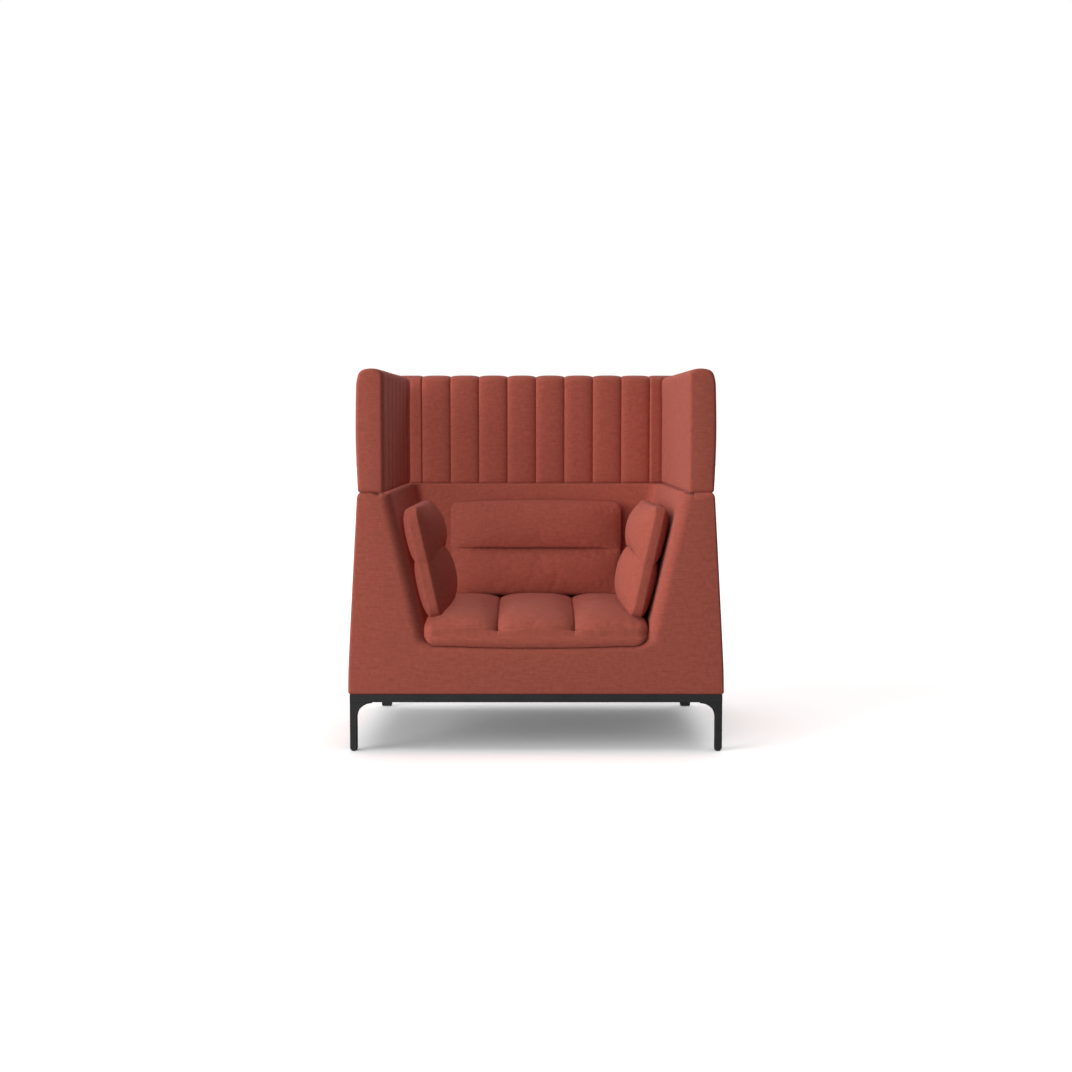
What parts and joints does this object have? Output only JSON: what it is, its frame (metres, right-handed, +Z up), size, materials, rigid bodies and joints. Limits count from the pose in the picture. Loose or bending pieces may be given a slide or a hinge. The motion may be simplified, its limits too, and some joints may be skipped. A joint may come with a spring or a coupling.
{
  "type": "acoustic high back lounge chair",
  "caption": "High back lounge armchair: upholstered tub on a low steel base, a channelled acoustic screen round three sides, a channelled seat and loose cushions at the back and arms.",
  "frame": {"origin": "on the floor, under the middle of the chair's width and depth", "axes": "+X to the right as seen from the front, +Y from the front to the back, +Z up"},
  "size_m": [1.2398, 0.82, 1.259],
  "materials": {
    "upholstery_fabric": "matte",
    "black_powder_coat": "satin",
    "black_nylon": "matte",
    "zinc_steel": "satin",
    "plywood": "matte",
    "beech": "matte",
    "webbing": "matte",
    "black_felt": "matte"
  },
  "bodies": {
    "chair": {"tub_upholstery": "upholstery_fabric", "screen_upholstery": "upholstery_fabric", "seat_cushion": "upholstery_fabric", "base_front_rail": "black_powder_coat", "base_back_rail": "black_powder_coat", "base_side_rail_left": "black_powder_coat", "base_side_rail_right": "black_powder_coat", "leg_front_left": "black_powder_coat", "leg_front_right": "black_powder_coat", "leg_back_left": "black_powder_coat", "leg_back_right": "black_powder_coat", "glide_front_left": "black_nylon", "glide_front_right": "black_nylon", "glide_back_left": "black_nylon", "glide_back_right": "black_nylon", "base_bolt_front_left": "zinc_steel", "base_bolt_front_right": "zinc_steel", "base_bolt_back_left": "zinc_steel", "base_bolt_back_right": "zinc_steel", "screen_bracket_wing_left": "zinc_steel", "screen_bracket_wing_right": "zinc_steel", "screen_bracket_back_left": "zinc_steel", "screen_bracket_back_right": "zinc_steel", "screen_bolt_wing_upper_left": "zinc_steel", "screen_bolt_wing_upper_right": "zinc_steel", "screen_bolt_wing_lower_left": "zinc_steel", "screen_bolt_wing_lower_right": "zinc_steel", "screen_bolt_back_upper_left": "zinc_steel", "screen_bolt_back_upper_right": "zinc_steel", "screen_bolt_back_lower_left": "zinc_steel", "screen_bolt_back_lower_right": "zinc_steel", "front_frame_board": "plywood", "back_panel": "plywood", "back_inner_panel": "plywood", "screen_core": "plywood", "side_panel_left": "plywood", "side_panel_right": "plywood", "arm_inner_panel_left": "plywood", "arm_inner_panel_right": "plywood", "seat_back_rail": "beech", "back_top_rail": "beech", "seat_side_rail_left": "beech", "seat_side_rail_right": "beech", "arm_top_rail_left": "beech", "arm_top_rail_right": "beech", "corner_block_front_left": "beech", "corner_block_front_right": "beech", "corner_block_back_left": "beech", "corner_block_back_right": "beech", "webbing_strap_1": "webbing", "webbing_strap_2": "webbing", "webbing_strap_3": "webbing", "webbing_strap_4": "webbing", "webbing_strap_5": "webbing", "dust_cover": "black_felt", "deck_pad": "black_felt"},
    "loose_back_cushion": {"back_cushion": "upholstery_fabric"},
    "loose_side_cushion_left": {"side_cushion_left": "upholstery_fabric"},
    "loose_side_cushion_right": {"side_cushion_right": "upholstery_fabric"}
  },
  "joints": [
    {"name": "lift_back_cushion", "type": "slide", "parent": "chair", "child": "loose_back_cushion", "axis": [0, 0, 1], "range_m": [0, 0.84]},
    {"name": "lift_side_cushion_left", "type": "slide", "parent": "chair", "child": "loose_side_cushion_left", "axis": [0, 0, 1], "range_m": [0, 0.84]},
    {"name": "lift_side_cushion_right", "type": "slide", "parent": "chair", "child": "loose_side_cushion_right", "axis": [0, 0, 1], "range_m": [0, 0.84]}
  ]
}
